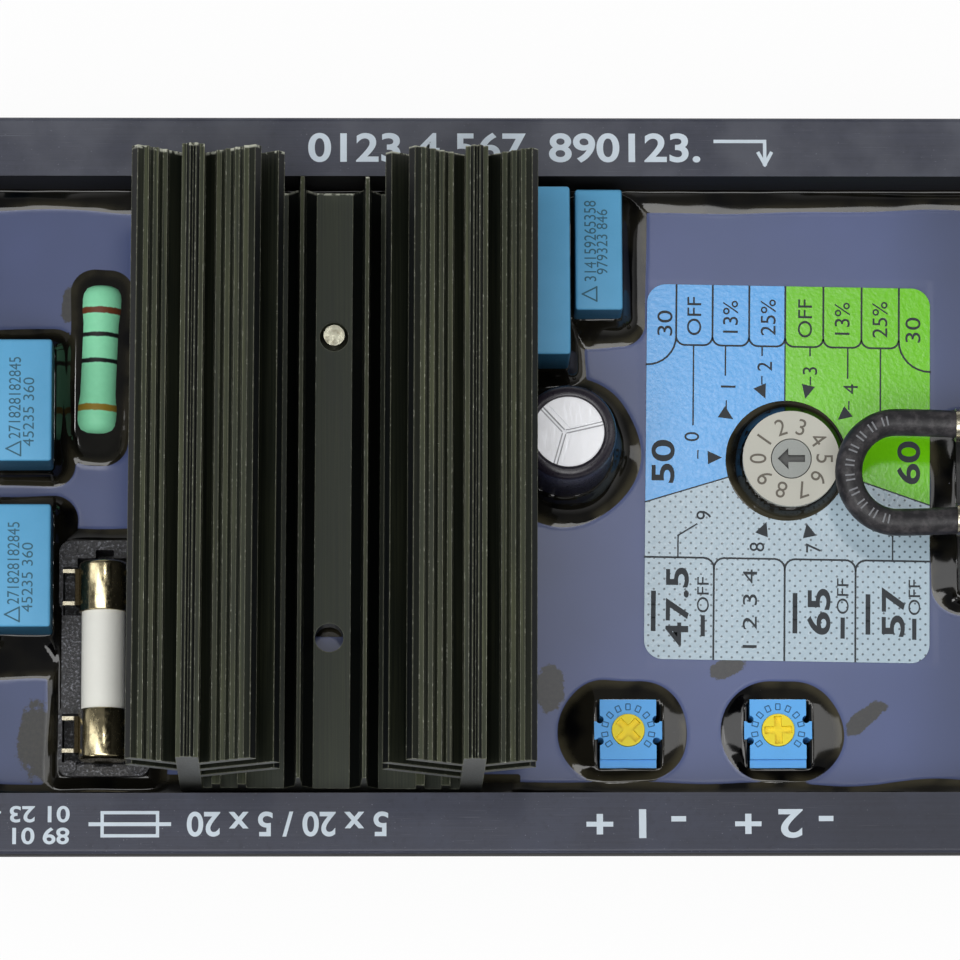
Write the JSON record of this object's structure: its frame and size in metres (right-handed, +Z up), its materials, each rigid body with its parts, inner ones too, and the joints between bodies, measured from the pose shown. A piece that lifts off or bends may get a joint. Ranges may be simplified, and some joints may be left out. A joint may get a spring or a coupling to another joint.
{
  "type": "automatic voltage regulator",
  "caption": "Resin-potted generator voltage regulator in a black aluminium channel, with finned heat sink, fuse, selector switch, trimmers and jumper.",
  "frame": {"origin": "middle of the channel's underside", "axes": "+X along the channel towards the jumper, +Y across it towards the film capacitors by the heat sink, +Z up out of the open top"},
  "size_m": [0.156, 0.078, 0.0431],
  "materials": {
    "anodised_channel": "black anodised, brushed",
    "black_moulding": "moulded",
    "resin": "cast, glossy",
    "board": "solder mask",
    "anodised_heat_sink": "black anodised extrusion",
    "tinned_wire": "tinned",
    "pad": "matt",
    "screw_steel": "zinc plated",
    "tinned_brass": "tinned strip",
    "fuse_ceramic": "matt",
    "cap_metal": "nickel plated",
    "capacitor_blue": "satin",
    "resistor_lacquer": "lacquered",
    "can_aluminium": "bright",
    "sleeve": "shrunk film",
    "dial": "printed",
    "selector_grey": "moulded",
    "label_film": "printed film, satin",
    "trimmer_blue": "moulded",
    "rotor_yellow": "moulded",
    "wire_sleeve": "extruded, satin"
  },
  "bodies": {
    "regulator": {"channel_housing": "anodised_channel", "left_end_dam": "black_moulding", "right_end_dam": "black_moulding", "potting_resin": "resin", "circuit_board": "board", "heat_sink": "anodised_heat_sink", "heat_sink_pins": "tinned_wire", "transistor_body": "black_moulding", "transistor_leadframe": "tinned_wire", "insulating_pad": "pad", "transistor_screw": "screw_steel", "fuse_holder": "black_moulding", "rear_fuse_clip": "tinned_brass", "front_fuse_clip": "tinned_brass", "fuse_tube": "fuse_ceramic", "rear_fuse_cap": "cap_metal", "front_fuse_cap": "cap_metal", "rear_film_capacitor": "capacitor_blue", "rear_film_capacitor_leads": "tinned_wire", "front_film_capacitor": "capacitor_blue", "front_film_capacitor_leads": "tinned_wire", "tall_film_capacitor": "capacitor_blue", "tall_film_capacitor_leads": "tinned_wire", "small_film_capacitor": "capacitor_blue", "small_film_capacitor_leads": "tinned_wire", "resistor_body": "resistor_lacquer", "resistor_leads": "tinned_wire", "electrolytic_can": "can_aluminium", "electrolytic_sleeve": "sleeve", "electrolytic_leads": "tinned_wire", "selector_body": "black_moulding", "selector_dial": "dial", "selector_pins": "tinned_wire", "setting_label": "label_film", "voltage_trimmer_body": "trimmer_blue", "voltage_trimmer_pins": "tinned_wire", "stability_trimmer_body": "trimmer_blue", "stability_trimmer_pins": "tinned_wire", "blade_terminals": "tinned_brass", "jumper_header": "black_moulding", "rear_jumper_tab": "tinned_brass", "front_jumper_tab": "tinned_brass", "jumper_wire": "wire_sleeve", "rear_receptacle": "tinned_brass", "front_receptacle": "tinned_brass"},
    "voltage_adjuster": {"voltage_trimmer_rotor": "rotor_yellow"},
    "stability_adjuster": {"stability_trimmer_rotor": "rotor_yellow"},
    "selector": {"selector_rotor": "selector_grey"}
  },
  "joints": [
    {"name": "voltage_turn", "type": "hinge", "parent": "regulator", "child": "voltage_adjuster", "pos_m": [0.01155, -0.02515, 0.016], "axis": [0, 0, 1], "range_deg": [-120, 120]},
    {"name": "stability_turn", "type": "hinge", "parent": "regulator", "child": "stability_adjuster", "pos_m": [0.02725, -0.02515, 0.016], "axis": [0, 0, 1], "range_deg": [-120, 120]},
    {"name": "selector_turn", "type": "hinge", "parent": "regulator", "child": "selector", "pos_m": [0.02885, 0.0034, 0.017], "axis": [0, 0, 1], "continuous": true}
  ]
}
